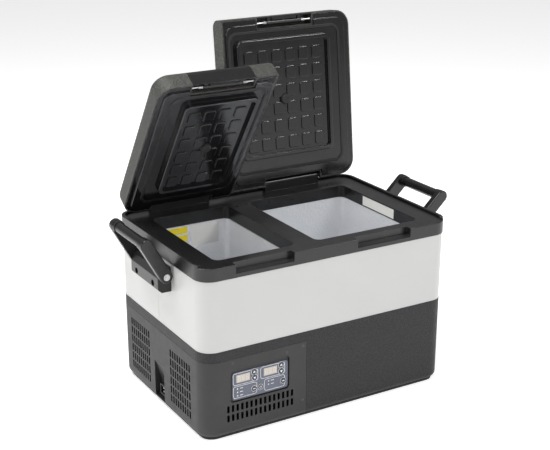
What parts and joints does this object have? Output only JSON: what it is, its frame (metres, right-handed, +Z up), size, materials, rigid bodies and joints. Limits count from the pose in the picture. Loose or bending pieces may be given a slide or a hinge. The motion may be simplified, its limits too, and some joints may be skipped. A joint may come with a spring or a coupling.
{
  "type": "portable compressor fridge",
  "caption": "Portable compressor cooler fridge with two separately lidded zones, swing handles, control panel and vented machine compartment.",
  "frame": {"origin": "centre of the footprint on the plane that the feet rest on", "axes": "+X to the right of the front, +Y to the rear, +Z up"},
  "size_m": [0.7253, 0.4323, 0.7387],
  "materials": {
    "cover_plastic": "fine satin charcoal",
    "base_plastic": "fine grained charcoal",
    "pan_plastic": "matte black",
    "rubber": "matte",
    "white_steel": "satin white",
    "rim_plastic": "satin black",
    "lens_plastic": "frosted white",
    "liner_aluminium": "stucco embossed",
    "foam": "rigid foam",
    "tube_aluminium": "drawn",
    "galvanised_sheet": "galvanised",
    "compressor_paint": "semi-gloss black",
    "copper_tube": "drawn copper",
    "fan_plastic": "satin",
    "circuit_board": "solder mask",
    "panel_overlay": "glossy overlay",
    "display": "unlit numeric display",
    "button_plastic": "satin",
    "socket_plastic": "matte",
    "pin_metal": "zinc plated",
    "screw_steel": "black zinc",
    "lid_plastic": "coarse speckled grain",
    "lid_liner_plastic": "glossy black",
    "gasket_rubber": "satin",
    "handle_plastic": "satin black"
  },
  "bodies": {
    "cabinet": {"base_shell": "base_plastic", "machine_cover": "cover_plastic", "base_pan": "pan_plastic", "rubber_feet": "rubber", "steel_wrap": "white_steel", "top_rim": "rim_plastic", "light_lens": "lens_plastic", "small_zone_liner": "liner_aluminium", "large_zone_liner": "liner_aluminium", "insulation": "foam", "small_evaporator": "tube_aluminium", "large_evaporator": "tube_aluminium", "bulkhead": "galvanised_sheet", "compressor": "compressor_paint", "compressor_mounts": "rubber", "condenser_fins": "tube_aluminium", "condenser_tubes": "copper_tube", "fan_shroud": "fan_plastic", "control_board": "circuit_board", "filter_drier": "copper_tube", "control_panel": "panel_overlay", "display_windows": "display", "power_socket": "socket_plastic", "socket_pins": "pin_metal", "hinge_pins": "pin_metal", "cover_screws": "screw_steel", "bracket_screws": "screw_steel", "handle_pivots": "pin_metal", "left_handle_bracket": "handle_plastic", "right_handle_bracket": "handle_plastic"},
    "fan": {"fan_rotor": "fan_plastic"},
    "small_zone_up_button": {"small_zone_up_button": "button_plastic"},
    "small_zone_down_button": {"small_zone_down_button": "button_plastic"},
    "large_zone_up_button": {"large_zone_up_button": "button_plastic"},
    "large_zone_down_button": {"large_zone_down_button": "button_plastic"},
    "set_button": {"set_button": "button_plastic"},
    "power_button": {"power_button": "button_plastic"},
    "mode_button": {"mode_button": "button_plastic"},
    "small_lid": {"small_lid_cover": "lid_plastic", "small_lid_liner": "lid_liner_plastic", "small_lid_foam": "foam", "small_lid_gasket": "gasket_rubber", "small_lid_vent_plug": "rubber", "small_latch_rod": "pin_metal", "small_latch_springs": "pin_metal"},
    "small_latch": {"small_latch_lever": "rim_plastic"},
    "large_lid": {"large_lid_cover": "lid_plastic", "large_lid_liner": "lid_liner_plastic", "large_lid_foam": "foam", "large_lid_gasket": "gasket_rubber", "large_lid_vent_plug": "rubber", "large_latch_rod": "pin_metal", "large_latch_springs": "pin_metal"},
    "large_latch": {"large_latch_lever": "rim_plastic"},
    "left_handle": {"left_handle_front_arm": "handle_plastic", "left_handle_rear_arm": "handle_plastic", "left_handle_grip": "handle_plastic"},
    "right_handle": {"right_handle_front_arm": "handle_plastic", "right_handle_rear_arm": "handle_plastic", "right_handle_grip": "handle_plastic"}
  },
  "joints": [
    {"name": "small_lid_hinge", "type": "hinge", "parent": "cabinet", "child": "small_lid", "pos_m": [-0.1515, 0.1722, 0.3776], "axis": [-1, 0, 0], "range_deg": [-55.6, 40.5]},
    {"name": "large_lid_hinge", "type": "hinge", "parent": "cabinet", "child": "large_lid", "pos_m": [0.1265, 0.1722, 0.3776], "axis": [-1, 0, 0], "range_deg": [-96.1, 0]},
    {"name": "small_latch_pivot", "type": "hinge", "parent": "small_lid", "child": "small_latch", "pos_m": [-0.1505, -0.03083, 0.66119], "axis": [-1, 0, 0], "range_deg": [0, 20], "stiffness_Nm_per_rad": 0.35, "springref_deg": -8.59},
    {"name": "large_latch_pivot", "type": "hinge", "parent": "large_lid", "child": "large_latch", "pos_m": [0.1235, 0.202, 0.7251], "axis": [-1, 0, 0], "range_deg": [0, 20], "stiffness_Nm_per_rad": 0.35, "springref_deg": -8.59},
    {"name": "left_handle_swing", "type": "hinge", "parent": "cabinet", "child": "left_handle", "pos_m": [-0.3015, 0, 0.311], "axis": [0, -1, 0], "range_deg": [-29, 151]},
    {"name": "right_handle_swing", "type": "hinge", "parent": "cabinet", "child": "right_handle", "pos_m": [0.3015, 0, 0.311], "axis": [0, 1, 0], "range_deg": [-46, 134]},
    {"name": "fan_spin", "type": "hinge", "parent": "cabinet", "child": "fan", "pos_m": [-0.2245, -0.09, 0.086], "axis": [1, 0, 0], "continuous": true},
    {"name": "small_zone_up_button_press", "type": "slide", "parent": "cabinet", "child": "small_zone_up_button", "axis": [0, 1, 0], "range_m": [0, 0.0008], "stiffness_N_per_m": 800, "springref_m": -0.0004},
    {"name": "small_zone_down_button_press", "type": "slide", "parent": "cabinet", "child": "small_zone_down_button", "axis": [0, 1, 0], "range_m": [0, 0.0008], "stiffness_N_per_m": 800, "springref_m": -0.0004},
    {"name": "large_zone_up_button_press", "type": "slide", "parent": "cabinet", "child": "large_zone_up_button", "axis": [0, 1, 0], "range_m": [0, 0.0008], "stiffness_N_per_m": 800, "springref_m": -0.0004},
    {"name": "large_zone_down_button_press", "type": "slide", "parent": "cabinet", "child": "large_zone_down_button", "axis": [0, 1, 0], "range_m": [0, 0.0008], "stiffness_N_per_m": 800, "springref_m": -0.0004},
    {"name": "set_button_press", "type": "slide", "parent": "cabinet", "child": "set_button", "axis": [0, 1, 0], "range_m": [0, 0.0008], "stiffness_N_per_m": 800, "springref_m": -0.0004},
    {"name": "power_button_press", "type": "slide", "parent": "cabinet", "child": "power_button", "axis": [0, 1, 0], "range_m": [0, 0.0008], "stiffness_N_per_m": 800, "springref_m": -0.0004},
    {"name": "mode_button_press", "type": "slide", "parent": "cabinet", "child": "mode_button", "axis": [0, 1, 0], "range_m": [0, 0.0008], "stiffness_N_per_m": 800, "springref_m": -0.0004}
  ]
}
